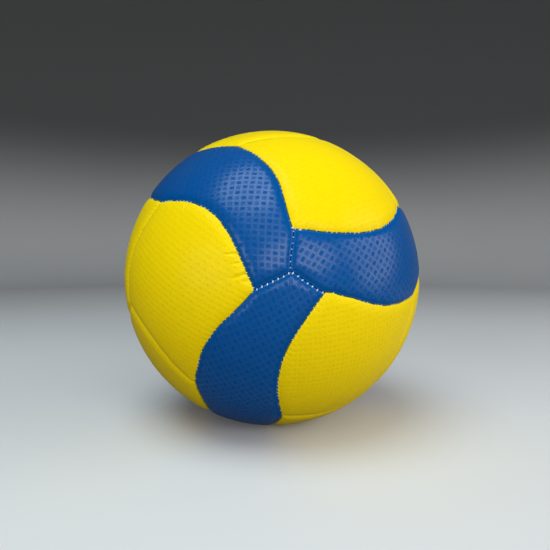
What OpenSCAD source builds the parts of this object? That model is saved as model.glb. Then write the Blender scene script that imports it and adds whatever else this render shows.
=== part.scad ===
// Machine-sewn volleyball of eighteen panels: six blue S-shaped bands and twelve yellow kites.
// Each panel is a skin of synthetic leather with turned-in edges and a foam pad behind it.
// Inside the sewn cover lie a cloth lining, a rubber bladder and a self-sealing needle valve.
// The centre of the ball is the origin, and the valve points up along Z.

/* [Ball] */
// Outside diameter over the crowns of the panels
ball_d = 210; // [195:1:220]
// Play between two layers that lie one on the other
layer_gap = 0.3; // [0.2:0.05:0.4]

/* [Cover] */
// Thickness of the synthetic leather skin
skin_t = 1; // [0.8:0.1:1.4]
// Thickness of the foam pad behind each skin
foam_t = 2.7; // [2:0.1:4]
// Width of the slit between the turned edges of two panels
slit_w = 0.3; // [0.2:0.05:0.5]
// Depth of the groove over a seam
groove_depth = 2.4; // [1.8:0.1:2.8]
// Width of the rounded border between the slit and the crown of a panel
border_w = 4.5; // [4:0.25:7]
// Width of a turned-in edge, where the skin lies double
turned_w = 2.4; // [2:0.1:3]
// Margin left all round between the foam and the turned-in edge
pad_margin = 0.5; // [0.2:0.1:3]

/* [Seam thread] */
// Thickness of the sewing thread
thread_t = 0.5; // [0.3:0.05:0.6]
// Height of the thread over the bottom of the groove
thread_lift = 0.5; // [0.4:0.05:0.8]
// Length left bare at each end of a row of stitches
thread_end = 1.5; // [1:0.25:3]

/* [Lining and bladder] */
// Thickness of the cloth lining
lining_t = 0.6; // [0.4:0.1:1]
// Thickness of the rubber bladder
bladder_t = 0.8; // [0.5:0.1:1.2]

/* [Valve] */
// Radius of the rubber stem that passes through the cover
stem_r = 4; // [3.5:0.1:5]
// Depth of the stem's end below the crown of its panel
stem_recess = 1; // [0.6:0.1:1.5]
// Radius of the round foot bonded inside the bladder
foot_r = 12; // [9:0.5:15]
// Thickness of that foot
foot_t = 1.2; // [0.8:0.1:2]
// Radius of the barrel inside the bladder
barrel_r = 5; // [4.5:0.1:6]
// Length of the barrel below the foot
barrel_l = 8; // [6:0.5:12]
// Thickness of the barrel's floor
floor_t = 1.5; // [1:0.1:2.5]
// Radius of the self-sealing core
core_r = 2.5; // [2:0.1:2.9]
// Radial play of the core in its barrel
core_gap = 0.05; // [0.04:0.01:0.1]
// Radius of the way for the inflating needle
needle_r = 1; // [0.8:0.1:1.2]
// Radius of the lead-in at the top of the core
lead_in_r = 1.7; // [1.4:0.1:1.9]
// Depth of that lead-in
lead_in_depth = 0.8; // [0.5:0.1:1.2]

/* [Fineness] */
// Steps along each long seam of a panel
seam_steps = 9; // [6:1:12]
// Steps along each short seam beside a pole
end_steps = 4; // [3:1:6]

/* [Hidden] */
$fn = 180;

// The pattern is drawn about a pole where three blue bands meet. A place on it is
// [angle from the pole, turn about the pole], and the first band runs at turn 0.
// The ball has four such poles, at the corners of a tetrahedron.
arm_count = 3;
arm_step = 360 / arm_count;
// Where a pole seam ends on the side of a band
side_angles = [12.5, -42.5];
// Where a yellow seam ends on the side of a band
fork_angles = [54, -20.5];
// Where three yellow panels meet
yellow_angles = [acos(1 / 3), -arm_step / 2];
// The middle of a band, halfway between two poles
middle_angles = [acos(1 / sqrt(3)), 0];
// The two control places of each kind of seam
pole_bend_angles = [[5.5, -37], [10, -47.5]];
outer_bend_angles = [[31, -30.5], [32, -38.5]];
inner_bend_angles = [[26, 11], [34.5, 7]];
yellow_bend_angles = [[57, -31], [56.5, -46.5]];

// The front pole stands this far above the horizon, towards -Y
pole_rise = 6;
// The first band leaves the front pole at this turn from the horizon
arm_turn = 130.5;
blue_count = 6;
yellow_count = 12;
// Four yellow panels follow each arm
flip_count = 4;

ball_r = ball_d / 2;
cover_t = skin_t + layer_gap + foam_t;
half_slit = slit_w / 2;
// Section of the rounded border, from the slit up to the crown and a little above it,
// each as [share of border_w, share of groove_depth]
border_shares = [[0, 1], [0.16, 0.45], [0.5, 0.12], [1.6, -0.144]];
pad_inset = half_slit + turned_w + pad_margin;
pad_top_r = ball_r - skin_t - layer_gap;
pad_bottom_r = ball_r - cover_t;
// A wedge reaches past the ball by this share, so that its flat cap clears every panel
wedge_share = 1.25;
wedge_r = wedge_share * ball_r;
lining_r = pad_bottom_r - layer_gap;
bladder_r = lining_r - lining_t - layer_gap;
foot_top_r = bladder_r - bladder_t - layer_gap;
stem_top = ball_r - stem_recess;
barrel_bottom = foot_top_r - foot_t - barrel_l;
core_bottom = barrel_bottom + floor_t;
core_top = stem_top - layer_gap;
stem_hole_r = stem_r + layer_gap;
outlet_r = needle_r + layer_gap;
// How far a cut runs past the face that it opens
overrun = 2;

// Lists of directions, each a unit vector from the centre of the ball
function unit(v) = v / norm(v);
function reversed(list) = [for (i = [len(list) - 1:-1:0]) list[i]];
function but_last(list) = [for (i = [0:len(list) - 2]) list[i]];
function turned(v, a) = [v.x * cos(a) - v.y * sin(a), v.x * sin(a) + v.y * cos(a), v.z];
function all_turned(list, a) = [for (v = list) turned(v, a)];

// The map about the pole keeps angles from the pole true. mapped takes a place to the map,
// lifted takes a map point to a direction, and flattened takes it back.
function mapped(place) = place[0] * [cos(place[1]), sin(place[1])];
function lifted(q) =
    let (a = norm(q), t = a > 0 ? atan2(q.y, q.x) : 0)
    [sin(a) * cos(t), sin(a) * sin(t), cos(a)];
function flattened(v) = acos(v.z) * unit([v.x, v.y]);
function direction(place) = lifted(mapped(place));

// A band looks the same after half a turn about its middle
function half_turned(v) =
    let (m = direction(middle_angles))
    2 * (v * m) * m - v;
function all_half_turned(list) = [for (v = list) half_turned(v)];
// A third of a turn about the point where three yellow panels meet
function third_turned(v) =
    let (m = direction(yellow_angles))
    v * cos(arm_step) + cross(m, v) * sin(arm_step) + m * (m * v) * (1 - cos(arm_step));
function all_third_turned(list) = [for (v = list) third_turned(v)];

// A seam is one Bezier curve on the map, lifted onto the ball
function bezier(c, t) =
    (1 - t) ^ 3 * c[0] + 3 * t * (1 - t) ^ 2 * c[1] + 3 * t ^ 2 * (1 - t) * c[2] + t ^ 3 * c[3];
function seam(from, bends, to, steps) =
    let (c = [from, mapped(bends[0]), mapped(bends[1]), to])
    [for (i = [0:steps]) lifted(bezier(c, i / steps))];
// Between two bands, from the pole
pole_seam = seam([0, 0], pole_bend_angles, mapped(side_angles), end_steps);
// Between a band and a yellow panel, from the pole seam to the fork
outer_seam = seam(mapped(side_angles), outer_bend_angles, mapped(fork_angles), seam_steps);
// The same on the other side of the band, as far as the far fork
inner_seam = seam(
    mapped(side_angles + [0, arm_step]),
    inner_bend_angles,
    flattened(half_turned(direction(fork_angles))),
    seam_steps
);
// Between two yellow panels, from the fork
yellow_seam = seam(mapped(fork_angles), yellow_bend_angles, mapped(yellow_angles), seam_steps);

// An outline runs anticlockwise seen from outside, from a corner where panels of one colour
// meet. Its corners are given by number, the first one again at the end.
function blue_outline() =
    let (far_end = all_half_turned(all_turned(pole_seam, arm_step)))
    let (half = concat(
        but_last(pole_seam),
        but_last(outer_seam),
        but_last(reversed(all_half_turned(inner_seam))),
        but_last(reversed(far_end))
    ))
    concat(half, all_half_turned(half));
band_steps = end_steps + 2 * seam_steps;
half_way_steps = band_steps + end_steps;
blue_corner_steps = [0, band_steps, half_way_steps, half_way_steps + band_steps, 2 * half_way_steps];
function yellow_outline() = concat(
    but_last(reversed(yellow_seam)),
    but_last(reversed(outer_seam)),
    but_last(all_turned(inner_seam, -arm_step)),
    but_last(all_third_turned(yellow_seam))
);
yellow_corner_steps = seam_steps * [0, 1, 2, 3, 4];

// Direction from point i of an outline to the next one
function ahead(outline, i) =
    let (n = len(outline))
    unit(outline[(i + 1) % n] - outline[i % n]);
// Mitred step from point i of an outline towards its inside
function step_in(outline, i) =
    let (n = len(outline), p = outline[i % n])
    let (before = cross(p, ahead(outline, i + n - 1)))
    let (after = cross(p, ahead(outline, i)))
    (before + after) / (1 + before * after);
// An outline moved inwards by a distance. The points of each side slide along it in step
// with its corners, so that they never pass them.
function inset(outline, corners, distance) = [
    for (k = [0:len(corners) - 2])
        let (a = corners[k], b = corners[k + 1])
        let (start = step_in(outline, a) * ahead(outline, a))
        let (end = step_in(outline, b) * ahead(outline, b - 1))
        for (i = [a:b - 1])
            let (t = (i - a) / (b - a))
            let (slide = i == a ? 0 : (1 - t) * start + t * end)
            let (way = ahead(outline, slide < 0 ? i - 1 : i))
            unit(outline[i] + distance / ball_r * (step_in(outline, i) + slide * way))
];

// Faces between two rings of n points, the outer one first
function strip_faces(n, outer, inner) = [
    for (i = [0:n - 1])
        let (k = (i + 1) % n)
        each [[outer + i, outer + k, inner + k], [outer + i, inner + k, inner + i]]
];
// Faces that close a ring of n points, with rungs across it from its first corner on
function cap_faces(n, ring) = concat(
    [[ring, ring + n - 1, ring + 1]],
    [
        for (i = [1:n / 2 - 2])
            let (a = ring + i, b = a + 1, d = ring + n - i, c = d - 1)
            each [[a, d, b], [b, d, c]]
    ],
    [[ring + n / 2 - 1, ring + n / 2 + 1, ring + n / 2]]
);

// A wedge that starts at the centre of the ball and widens through rings about an outline,
// each given as [distance inwards from the seam, radius]
module wedge(outline, corners, rings) {
    n = len(outline);
    last = len(rings) - 1;
    polyhedron(
        points = concat(
            [[0, 0, 0]],
            [for (g = rings, v = inset(outline, corners, g[0])) g[1] * v]
        ),
        faces = concat(
            [for (i = [0:n - 1]) [0, 1 + i, 1 + (i + 1) % n]],
            [for (k = [0:last - 1]) each strip_faces(n, 1 + n * (k + 1), 1 + n * k)],
            cap_faces(n, 1 + n * last)
        )
    );
}

// A skin with its rounded border and its turned-in edge
module skin(outline, corners) {
    border = [
        for (g = border_shares) [half_slit + g[0] * border_w, ball_r - g[1] * groove_depth]
    ];
    top_inset = border[len(border) - 1][0];
    difference() {
        intersection() {
            sphere(r = ball_r);
            wedge(outline, corners, concat(border, [[top_inset, wedge_r]]));
        }
        sphere(r = pad_bottom_r);
        intersection() {
            sphere(r = ball_r - skin_t);
            wedge(outline, corners, [[half_slit + turned_w, wedge_r]]);
        }
    }
}

module pad(outline, corners) {
    difference() {
        intersection() {
            sphere(r = pad_top_r);
            wedge(outline, corners, [[pad_inset, wedge_r]]);
        }
        sphere(r = pad_bottom_r);
    }
}

// The valve's way out, through whatever lies on its axis
module valve_hole() {
    translate([0, 0, barrel_bottom]) cylinder(r = stem_hole_r, h = ball_r);
}

// Puts a piece of the pattern on the ball, after a turn about the pole by whole arms and,
// where flip is not 0, half a turn about the middle of that band
module placed(arm, flip) {
    rotate([90 - pole_rise, 0, 0])
    rotate([0, 0, arm_turn])
    rotate(a = flip == 0 ? 0 : 180, v = turned(direction(middle_angles), -arm_step * (flip - 1)))
    rotate([0, 0, -arm_step * arm])
    children();
}
// Bands 1 to 3 meet at the front pole, and bands 4 to 6 lie opposite them
module blue_placed(i) {
    arm = (i - 1) % arm_count;
    placed(arm, i > arm_count ? (arm + 1) % arm_count + 1 : 0) children();
}
module yellow_placed(i) {
    placed(floor((i - 1) / flip_count), (i - 1) % flip_count) children();
}

module blue_panel(i) {
    color("royalblue")
    blue_placed(i) skin(blue_outline(), blue_corner_steps);
}

module yellow_panel(i) {
    color("gold")
    difference() {
        yellow_placed(i) skin(yellow_outline(), yellow_corner_steps);
        valve_hole();
    }
}

module blue_pad(i) {
    color("gainsboro")
    blue_placed(i) pad(blue_outline(), blue_corner_steps);
}

module yellow_pad(i) {
    color("whitesmoke")
    difference() {
        yellow_placed(i) pad(yellow_outline(), yellow_corner_steps);
        valve_hole();
    }
}

// One row of stitches as a four-cornered strand along the bottom of the groove
module strand(seam_points) {
    last = len(seam_points) - 1;
    bare = thread_end / ball_r;
    start = unit(seam_points[0] + bare * unit(seam_points[1] - seam_points[0]));
    end = unit(seam_points[last] + bare * unit(seam_points[last - 1] - seam_points[last]));
    path = [for (i = [0:last]) i == 0 ? start : i == last ? end : seam_points[i]];
    r = ball_r - groove_depth + thread_lift;
    half = thread_t / 2;
    corners = 4;
    polyhedron(
        points = [
            for (i = [0:last])
                let (ahead = path[min(i + 1, last)] - path[max(i - 1, 0)])
                let (aside = unit(cross(path[i], ahead)))
                each [
                    r * path[i] - half * aside,
                    (r + half) * path[i],
                    r * path[i] + half * aside,
                    (r - half) * path[i]
                ]
        ],
        faces = concat(
            [[0, 1, 2], [0, 2, 3]],
            [for (i = [0:last - 1]) each strip_faces(corners, corners * (i + 1), corners * i)],
            [for (f = [[0, 2, 1], [0, 3, 2]]) [for (k = f) corners * last + k]]
        )
    );
}

module seam_thread() {
    color("white")
    for (arm = [0:arm_count - 1], flip = [0:flip_count - 1]) placed(arm, flip) {
        strand(pole_seam);
        strand(outer_seam);
        strand(inner_seam);
        strand(yellow_seam);
    }
}

module hollow_ball(outer_r, wall) {
    difference() {
        sphere(r = outer_r);
        sphere(r = outer_r - wall);
        valve_hole();
    }
}

module cloth_lining() {
    color("beige") hollow_ball(lining_r, lining_t);
}

module bladder() {
    color("dimgray") hollow_ball(bladder_r, bladder_t);
}

// Rubber stem through the cover, round foot inside the bladder, and the barrel below it
module valve_body() {
    foot_middle = foot_top_r - foot_t / 2;
    color("black")
    difference() {
        union() {
            translate([0, 0, foot_middle]) cylinder(r = stem_r, h = stem_top - foot_middle);
            intersection() {
                difference() {
                    sphere(r = foot_top_r);
                    sphere(r = foot_top_r - foot_t);
                }
                cylinder(r = foot_r, h = ball_r);
            }
            translate([0, 0, barrel_bottom]) cylinder(r = barrel_r, h = foot_middle - barrel_bottom);
        }
        translate([0, 0, core_bottom]) cylinder(r = core_r + core_gap, h = ball_r - core_bottom);
        translate([0, 0, barrel_bottom - overrun]) cylinder(r = outlet_r, h = floor_t + 2 * overrun);
    }
}

// Self-sealing rubber core, with the needle's way shown open
module valve_core() {
    color("dimgray")
    difference() {
        translate([0, 0, core_bottom]) cylinder(r = core_r, h = core_top - core_bottom);
        translate([0, 0, core_bottom - overrun])
        cylinder(r = needle_r, h = core_top - core_bottom + 2 * overrun);
        translate([0, 0, core_top - lead_in_depth])
        cylinder(r1 = needle_r, r2 = lead_in_r, h = lead_in_depth);
    }
}

for (i = [1:blue_count]) {
    blue_panel(i);
    blue_pad(i);
}
for (i = [1:yellow_count]) {
    yellow_panel(i);
    yellow_pad(i);
}
seam_thread();
cloth_lining();
bladder();
valve_body();
valve_core();
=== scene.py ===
# %% [markdown]
# A stitched volleyball
# This lesson dresses a volleyball that was first built as a plain construction model. The
# real ball has a skin of eighteen leather panels, six long blue bands and twelve yellow
# kites, sewn together over foam. We rebuild every soft piece as a mesh of its own and give
# each one a material that is worked out by nodes, so nothing here needs an image.

# %% Load the construction model
import math
import bpy
import numpy as np
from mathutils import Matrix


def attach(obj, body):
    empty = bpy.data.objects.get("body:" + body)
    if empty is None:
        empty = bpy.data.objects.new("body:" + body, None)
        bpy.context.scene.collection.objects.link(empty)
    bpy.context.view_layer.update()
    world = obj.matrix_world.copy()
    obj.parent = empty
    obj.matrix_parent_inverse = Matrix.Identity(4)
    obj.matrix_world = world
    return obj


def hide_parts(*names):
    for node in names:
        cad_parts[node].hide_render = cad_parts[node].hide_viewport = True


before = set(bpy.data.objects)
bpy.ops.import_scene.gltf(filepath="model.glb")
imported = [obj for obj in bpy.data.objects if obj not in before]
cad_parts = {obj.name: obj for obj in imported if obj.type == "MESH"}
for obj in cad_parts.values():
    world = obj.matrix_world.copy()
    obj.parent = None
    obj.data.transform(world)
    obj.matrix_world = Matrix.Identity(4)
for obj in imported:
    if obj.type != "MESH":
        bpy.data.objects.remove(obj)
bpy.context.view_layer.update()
print("construction model:", len(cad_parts), "pieces")

# %% [markdown]
# The camera
# The photograph shows the ball from its own height, a little from the left, and from near
# enough that the sides fall away. The distance and the lens were worked out from where the
# seams meet. A small shift puts the ball where it stands in the frame.

# %% Camera
IMAGE = 550  # width of the picture in pixels
SHIFT = 3  # how far the ball stands from its middle, in pixels


def linked(name, data):
    """A new object in the scene."""
    made = bpy.data.objects.new(name, data)
    bpy.context.collection.objects.link(made)
    return made


def aimed(made, place):
    """Moves a camera or a lamp to a place and turns it to the middle of the ball."""
    made.location = place
    made.rotation_euler = (-made.location).to_track_quat("-Z", "Y").to_euler()


camera_data = bpy.data.cameras.new("camera")
camera = linked("camera", camera_data)
aimed(camera, (-0.0393, -0.3694, 0.0209))
camera_data.sensor_width = 36
camera_data.lens = 32.8
camera_data.shift_x = SHIFT / IMAGE
camera_data.shift_y = SHIFT / IMAGE
camera_data.clip_start = 0.01
bpy.context.scene.camera = camera
bpy.context.scene.view_settings.view_transform = "Standard"
print("camera distance:", round(camera.location.length, 4), "m")

# %% [markdown]
# Sizes
# A full-size ball is 210 mm across. All sizes are those of the construction model, in
# millimetres, because that keeps the numbers readable. Each mesh is turned into metres
# when it is made.

# %% Size of the ball
MM = 0.001
BALL_R = 105.0
print("round the ball:", round(2 * math.pi * BALL_R), "mm")

# %% [markdown]
# The seams
# All the seams are copies of four curves. Each curve is drawn on a flat map about a pole,
# a place where three blue bands meet, and the map is then wrapped onto the ball. The
# curves could be drawn by hand on the sphere, but on a map each needs only its two ends
# and two control points, and the same curve serves all round the ball.

# %% Turning places into directions
def unit(v):
    """Directions of length one."""
    return v / np.linalg.norm(v, axis=-1, keepdims=True)


def on_map(angle, turn):
    """A place on the map, by its angle from the pole and its turn about it, in degrees."""
    return angle * np.array([math.cos(math.radians(turn)), math.sin(math.radians(turn))])


def lifted(points):
    """From the map onto the ball."""
    angle = np.radians(np.linalg.norm(points, axis=-1, keepdims=True))
    return np.concatenate([np.sinc(angle / np.pi) * np.radians(points), np.cos(angle)], -1)


def flattened(v):
    """From the ball back onto the map."""
    reach = np.linalg.norm(v[..., :2], axis=-1, keepdims=True)
    return np.degrees(np.arctan2(reach, v[..., 2:])) * v[..., :2] / np.maximum(reach, 1e-12)


def about(axis, degrees):
    """Matrix of a turn about an axis."""
    x, y, z = axis / np.linalg.norm(axis)
    c, s = math.cos(math.radians(degrees)), math.sin(math.radians(degrees))
    cross = np.array([[0, -z, y], [z, 0, -x], [-y, x, 0]])
    return c * np.eye(3) + s * cross + (1 - c) * np.outer((x, y, z), (x, y, z))


# %% Places on the map, and turns of the pattern
SIDE, FORK = on_map(12.5, -42.5), on_map(54, -20.5)
THREE_YELLOW = on_map(math.degrees(math.acos(1 / 3)), -60)
BAND_MIDDLE = lifted(on_map(math.degrees(math.acos(1 / math.sqrt(3))), 0))
HALF_TURN = about(BAND_MIDDLE, 180)
THIRD_TURN = about(lifted(THREE_YELLOW), 120)
ARM_TURN = about(np.array([0, 0, 1.0]), 120)
print("a blue band is", round(math.degrees(2 * math.acos(1 / math.sqrt(3)))), "degrees long")


# %% The four seam curves
STEPS = 400  # along a seam


def seam(start, bend, other_bend, end):
    """A seam as evenly spaced directions."""
    t = np.linspace(0, 1, STEPS)[:, None]
    curve = ((1 - t) ** 3 * start + 3 * t * (1 - t) ** 2 * bend
             + 3 * t ** 2 * (1 - t) * other_bend + t ** 3 * end)
    return evenly(lifted(curve), STEPS)


def evenly(path, count):
    """A path as a number of evenly spaced directions."""
    steps = np.linalg.norm(np.diff(path, axis=0), axis=1)
    along = np.concatenate([[0], np.cumsum(steps)])
    wanted = np.linspace(0, along[-1], count)
    return unit(np.stack([np.interp(wanted, along, path[:, k]) for k in range(3)], 1))


pole_seam = seam(np.zeros(2), on_map(5.5, -37), on_map(10, -47.5), SIDE)
outer_seam = seam(SIDE, on_map(31, -30.5), on_map(32, -38.5), FORK)
inner_seam = seam(on_map(12.5, 77.5), on_map(26, 11), on_map(34.5, 7),
                  flattened(HALF_TURN @ lifted(FORK)))
yellow_seam = seam(FORK, on_map(57, -31), on_map(56.5, -46.5), THREE_YELLOW)
SEAMS = {"pole": pole_seam, "outer": outer_seam, "inner": inner_seam, "yellow": yellow_seam}


def mm_long(path):
    """Length of a path on the ball."""
    return float(BALL_R * np.linalg.norm(np.diff(path, axis=0), axis=1).sum())


for name, path in SEAMS.items():
    print(name, "seam:", round(mm_long(path), 1), "mm")

# %% [markdown]
# Four sides for each panel
# A grid of even faces is easiest to lay over a shape with four sides. A blue band has two
# long sides and two short ends, and a yellow kite has four sides of about the same length.

# %% Outlines of the two panels
def joined(*paths):
    """Paths that follow on from each other, as one."""
    return np.concatenate([p if k == 0 else p[1:] for k, p in enumerate(paths)])


far_end = pole_seam @ ARM_TURN.T @ HALF_TURN.T
band_side = joined(pole_seam, outer_seam, (inner_seam @ HALF_TURN.T)[::-1])
SIDES = {
    "blue": [band_side, far_end[::-1], band_side @ HALF_TURN.T, far_end[::-1] @ HALF_TURN.T],
    "yellow": [yellow_seam[::-1], outer_seam[::-1], inner_seam @ ARM_TURN,
               yellow_seam @ THIRD_TURN.T]}
for colour, sides in SIDES.items():
    print(colour, "panel, its sides:", *(round(mm_long(side), 1) for side in sides), "mm")

# %% [markdown]
# Where each panel goes
# The pattern is turned so that one pole faces the camera and the valve's panel lies on
# top. Twelve turns carry one yellow kite to all its places, and six of them carry the band.

# %% Turns that place the panels
WORLD = about(np.array([1.0, 0, 0]), 84) @ about(np.array([0, 0, 1.0]), 130.5)


def placed(arm, flip):
    """The turn to one of twelve places: three arms about a pole, and four poles."""
    turn = np.linalg.matrix_power(ARM_TURN.T, arm)
    if flip:
        turn = about(np.linalg.matrix_power(ARM_TURN.T, flip - 1) @ BAND_MIDDLE, 180) @ turn
    return WORLD @ turn


TURNS = {
    "blue": [placed(k, 0) for k in range(3)] + [placed(k, (k + 1) % 3 + 1) for k in range(3)],
    "yellow": [placed(k // 4, k % 4) for k in range(12)]}
print("panels:", len(TURNS["blue"]), "blue and", len(TURNS["yellow"]), "yellow")

# %% [markdown]
# Made by hand
# The panels of a real ball are stitched and glued by people, so no two seams are quite
# alike. A few soft pushes move the seams by up to four millimetres, and they fade out
# around each place, so that neighbouring pieces stay together. A faint wobble of a few
# tenths of a millimetre keeps the edges from looking drawn with a ruler.

# %% Soft pushes over the ball
PUSHES = [
    # direction of the place, push in mm
    ((0.00, -0.99, 0.10), (-1.6, -0.2, -2.0)),
    ((-0.28, -0.51, 0.82), (1.1, 0.7, 0.8)),
    ((0.80, -0.60, -0.08), (1.8, 2.4, -0.2)),
    ((-0.52, -0.65, -0.55), (-0.3, 1.9, -1.9)),
    ((-0.74, -0.47, 0.48), (2.1, -3.1, 0.2)),
    ((-0.04, -0.88, 0.47), (1.3, 0.3, 0.6)),
    ((-0.52, -0.73, 0.45), (0.9, -0.5, 0.2)),
    ((0.35, -0.89, 0.29), (0.3, 0.5, 1.3)),
    ((0.70, -0.58, 0.43), (0.6, 0.4, -0.4)),
    ((-0.06, -0.87, -0.50), (0.7, -0.1, 0.1)),
    ((0.55, -0.83, -0.11), (0.4, 0.3, -0.4)),
]
PUSH_REACH = 0.36  # in radii of the ball
ANY_PHASE = (0, 6.3)  # a wave may start anywhere
WAVES, WAVE_HEIGHT = 9, 0.1  # the wobble, as waves 6 to 11 mm long
print("pushes:", len(PUSHES), "up to", round(max(math.hypot(*push) for _, push in PUSHES), 1), "mm")


def drifted(v):
    """Directions moved by the soft pushes and the wobble."""
    moved = v.copy()
    for place, push in PUSHES:
        away = np.linalg.norm(v - unit(np.array(place)), axis=-1, keepdims=True)
        moved += np.exp(-(away / PUSH_REACH) ** 2) * np.array(push) / BALL_R
    pick = np.random.default_rng(21)
    for _ in range(WAVES):
        wave = unit(pick.normal(size=3)) * 2 * math.pi * BALL_R / pick.uniform(6, 11)
        sideways = WAVE_HEIGHT / BALL_R * unit(pick.normal(size=3))
        moved += sideways * np.sin(v @ wave + pick.uniform(*ANY_PHASE))[:, None]
    return unit(moved)


# %% [markdown]
# Rings and a grid
# The border of a panel rolls down into the seam, so it needs fine rings that follow the
# edge. Inside the last ring an even grid is enough, which blends the four sides of the
# ring across the panel.

# %% Rings inside an outline
def side_points(sides, counts):
    """The outline as points, so many steps for each pair of sides."""
    return [evenly(side, counts[k % 2] + 1) for k, side in enumerate(sides)]


def mitre(before, after):
    """The way inwards at a corner of two sides."""
    return (before + after) / (1 + before @ after)


def ring(sides, distance):
    """The outline moved inwards by a distance, as four sides that share their corners."""
    tangents, inwards = [], []
    for side in sides:
        ahead = np.gradient(side, axis=0)
        tangent = unit(ahead - side * (ahead * side).sum(1, keepdims=True))
        tangents.append(tangent)
        inwards.append(np.cross(side, tangent))
    moved = []
    for k, side in enumerate(sides):
        first = mitre(inwards[k - 1][-1], inwards[k][0])
        last = mitre(inwards[k][-1], inwards[(k + 1) % 4][0])
        t = np.linspace(0, 1, len(side))[:, None]
        slide = (1 - t) * (first @ tangents[k][0]) + t * (last @ tangents[k][-1])
        moved.append(unit(side + distance / BALL_R * (inwards[k] + slide * tangents[k])))
        moved[-1][0] = unit(side[0] + distance / BALL_R * first)
        moved[-1][-1] = unit(side[-1] + distance / BALL_R * last)
    return moved


def loop_of(sides):
    """Four sides as one closed ring, without its corners twice."""
    return np.concatenate([side[:-1] for side in sides])


# %% A grid across four sides
def grid_across(sides):
    """Directions of a grid, as rows along the first side, from the first side to the third."""
    middle = unit(loop_of(sides).mean(0))
    east = unit(np.cross((0.3, 0.5, 0.8), middle))  # any direction along the ball will do
    axes = np.stack([east, np.cross(middle, east), middle])
    low, right = (flattened(sides[k] @ axes.T) for k in (0, 1))
    high, left = (flattened(sides[k][::-1] @ axes.T) for k in (2, 3))
    u = np.linspace(0, 1, len(low))[None, :, None]
    v = np.linspace(0, 1, len(left))[:, None, None]
    grid = (1 - v) * low[None] + v * high[None] + (1 - u) * left[:, None] + u * right[:, None]
    grid -= ((1 - u) * (1 - v) * low[0] + u * (1 - v) * low[-1]
             + (1 - u) * v * high[0] + u * v * high[-1])
    return lifted(grid) @ axes


# %% [markdown]
# The shape of a panel
# Seen in section, a panel is flat on its crown and rolls down to the seam like a cushion.
# Two curves give that roll: a wide shallow one where the foam gives way, and a tight one
# where the leather is folded in. Each is halfway between an ellipse, which would end in a
# hard lip, and a parabola, which would look slack. The long blue bands are pulled down a
# little more than the kites, so a kite bulges over its seam. A little unevenness keeps a
# panel from looking turned on a lathe.

# %% Section of the border
SKIN = 1.0  # thickness of the leather
HALF_SLIT = 0.15  # from a seam to the skin, deep down
TOUCH = 0.04  # the same at the top, where two skins nearly touch
HEM = 2.4  # width of the turned-in edge
FOAM_TOP, FOAM_BOTTOM = 103.7, 101.0  # from the centre of the ball
BORDER, FOLD = 6.0, 0.8  # widths of the wide curve and of the tight one
BORDER_DEPTH = {"blue": 1.85, "yellow": 1.3}
FOLD_DEPTH = 0.3
RINGS_AT = (6.8, 5.5, 4.3, 3.3, 2.5, 1.9, 1.4, 1.0, 0.7, 0.45, 0.27, 0.12, TOUCH)


def roll(distance, width):
    """From 1 at the seam down to 0 at a width from it."""
    x = np.clip((distance - TOUCH) / width, 0, 1)
    return 0.5 * (1 - np.sqrt(np.maximum(1 - (1 - x) ** 2, 0))) + 0.5 * (1 - x) ** 2


def skin_section(colour):
    """Rings of a skin from its crown to its seam, then down inside and under it."""
    edge = BALL_R - BORDER_DEPTH[colour] - FOLD_DEPTH
    top = [(d, BALL_R - BORDER_DEPTH[colour] * roll(d, BORDER) - FOLD_DEPTH * roll(d, FOLD))
           for d in RINGS_AT]
    under = HALF_SLIT + HEM
    return top + [(HALF_SLIT, edge - 0.3), (HALF_SLIT, FOAM_BOTTOM), (under, FOAM_BOTTOM),
                  (under, BALL_R - SKIN - 0.1), (under + 1.5, BALL_R - SKIN)]


HILLS = {"leather": (7, 0.14, 46), "foam": (11, 0.12, 30)}  # seed, height, mm from hill to hill


def uneven(v, seed, size, wavelength):
    """Soft hills and dents over the ball, between 0 and size."""
    pick = np.random.default_rng(seed)
    height = np.zeros(len(v))
    for _ in range(7):
        way = unit(pick.normal(size=3)) * 2 * math.pi * BALL_R / wavelength
        height += np.sin(v @ way + pick.uniform(*ANY_PHASE))
    return size * (0.5 + height / 10)


for colour in BORDER_DEPTH:
    print(colour, "border:", len(skin_section(colour)), "rings, dropping",
          round(BALL_R - skin_section(colour)[len(RINGS_AT) - 1][1], 2), "mm to the seam")

# %% [markdown]
# A closed piece between two grids
# Skins and foam pads are built alike: a fine grid on top, rings that go over the border and
# round underneath, and a coarser grid that closes the inside. Because every ring has as
# many points as the grid has around its edge, the faces join without gaps.

# %% Faces between rings, and over a grid
def strip(later, earlier):
    """Faces between two rings with the same number of points."""
    return [(later[i - 1], later[i], earlier[i], earlier[i - 1]) for i in range(len(later))]


def border_of(index):
    """Numbers of the vertices around a grid, in the order of a ring."""
    return [*index[0, :-1], *index[:-1, -1], *index[-1, :0:-1], *index[:0:-1, 0]]


def bridge(fine, coarse):
    """Faces from a fine ring to one with fewer points."""
    step, n = len(fine) // len(coarse), len(fine)
    return [(coarse[i], coarse[(i + 1) % len(coarse)],
             *(fine[(step * (i + 1) - k) % n] for k in range(step + 1)))
            for i in range(len(coarse))]


def grid_faces(index, flip=False):
    """Faces of a grid of vertex numbers."""
    a, b, c, d = index[:-1, :-1], index[:-1, 1:], index[1:, 1:], index[1:, :-1]
    order = (a, d, c, b) if flip else (a, b, c, d)
    return list(map(tuple, np.stack([part.ravel() for part in order], 1).tolist()))


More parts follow.
